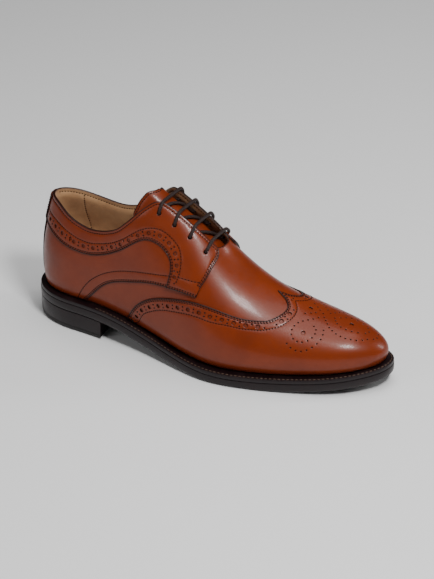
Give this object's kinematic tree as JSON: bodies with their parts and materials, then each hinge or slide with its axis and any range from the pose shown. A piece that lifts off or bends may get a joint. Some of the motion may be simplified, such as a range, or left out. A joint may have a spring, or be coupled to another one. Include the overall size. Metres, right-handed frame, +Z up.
{
  "type": "brogue shoe",
  "caption": "Right wingtip derby brogue: hollow leather upper with pointed wing cap, laced facings, tongue, insole, welt, sole and stacked heel.",
  "frame": {"origin": "centre of the footprint's bounding box, on the floor plane", "axes": "+X toward the toe, +Y toward the wearer's left (inner side), +Z up"},
  "size_m": [0.3019, 0.1012, 0.1308],
  "materials": {
    "upper_leather": "polished cognac calf",
    "strap_leather": "polished cognac calf, darker at the edges",
    "insole_leather": "matt natural tan",
    "sole_leather": "dark brown-black edge dressing, semi-gloss",
    "heel_rubber": "matt black",
    "lace_cord": "round waxed cotton, dark brown"
  },
  "bodies": {
    "root": {"upper": "upper_leather", "wing_cap": "upper_leather", "quarter_lateral": "upper_leather", "quarter_medial": "upper_leather", "back_strap": "strap_leather", "tongue": "upper_leather", "insole": "insole_leather", "welt": "sole_leather", "outsole": "sole_leather", "heel_stack": "sole_leather", "heel_top_piece": "heel_rubber", "lace": "lace_cord"}
  },
  "joints": []
}
